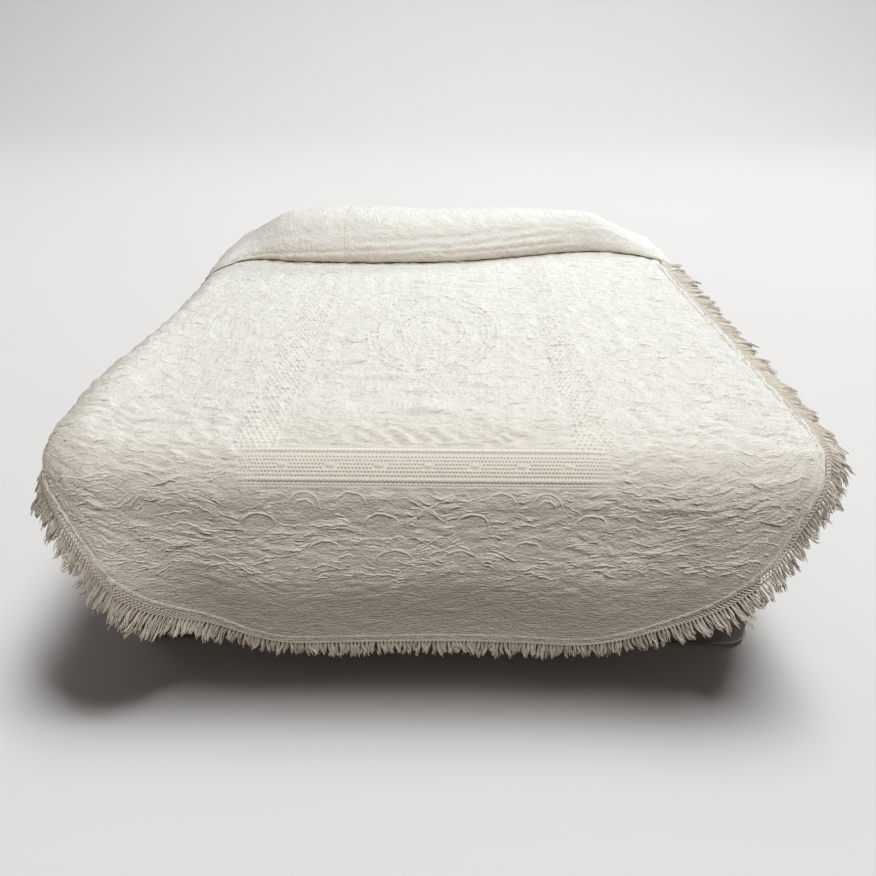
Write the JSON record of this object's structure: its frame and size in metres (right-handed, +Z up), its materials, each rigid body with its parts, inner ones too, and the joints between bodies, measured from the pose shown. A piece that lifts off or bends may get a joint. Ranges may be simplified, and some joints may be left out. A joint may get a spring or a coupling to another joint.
{
  "type": "matelasse bedspread on a mattress and bed base",
  "caption": "Quilted cotton bedspread with rounded foot corners and a netted fringe, draped over a plain bed and tucked round the pillows.",
  "frame": {"origin": "on the floor under the middle of the bed base", "axes": "+X across the bed, +Y from the foot towards the head, +Z up"},
  "size_m": [1.9063, 2.0385, 0.7844],
  "materials": {
    "quilted_cotton": "matt woven cotton with raised quilting",
    "fringe_cotton": "loose twisted cotton locks on a netted heading",
    "mattress_ticking": "plain striped ticking with piped edges",
    "pillow_case": "plain cotton",
    "base_cloth": "dark plain upholstery cloth"
  },
  "bodies": {
    "root": {"bed_base": "base_cloth", "mattress": "mattress_ticking", "pillow_left": "pillow_case", "pillow_right": "pillow_case", "bedspread": "quilted_cotton", "fringe_right_side": "fringe_cotton", "fringe_right_corner": "fringe_cotton", "fringe_foot": "fringe_cotton", "fringe_left_corner": "fringe_cotton", "fringe_left_side": "fringe_cotton"}
  },
  "joints": []
}
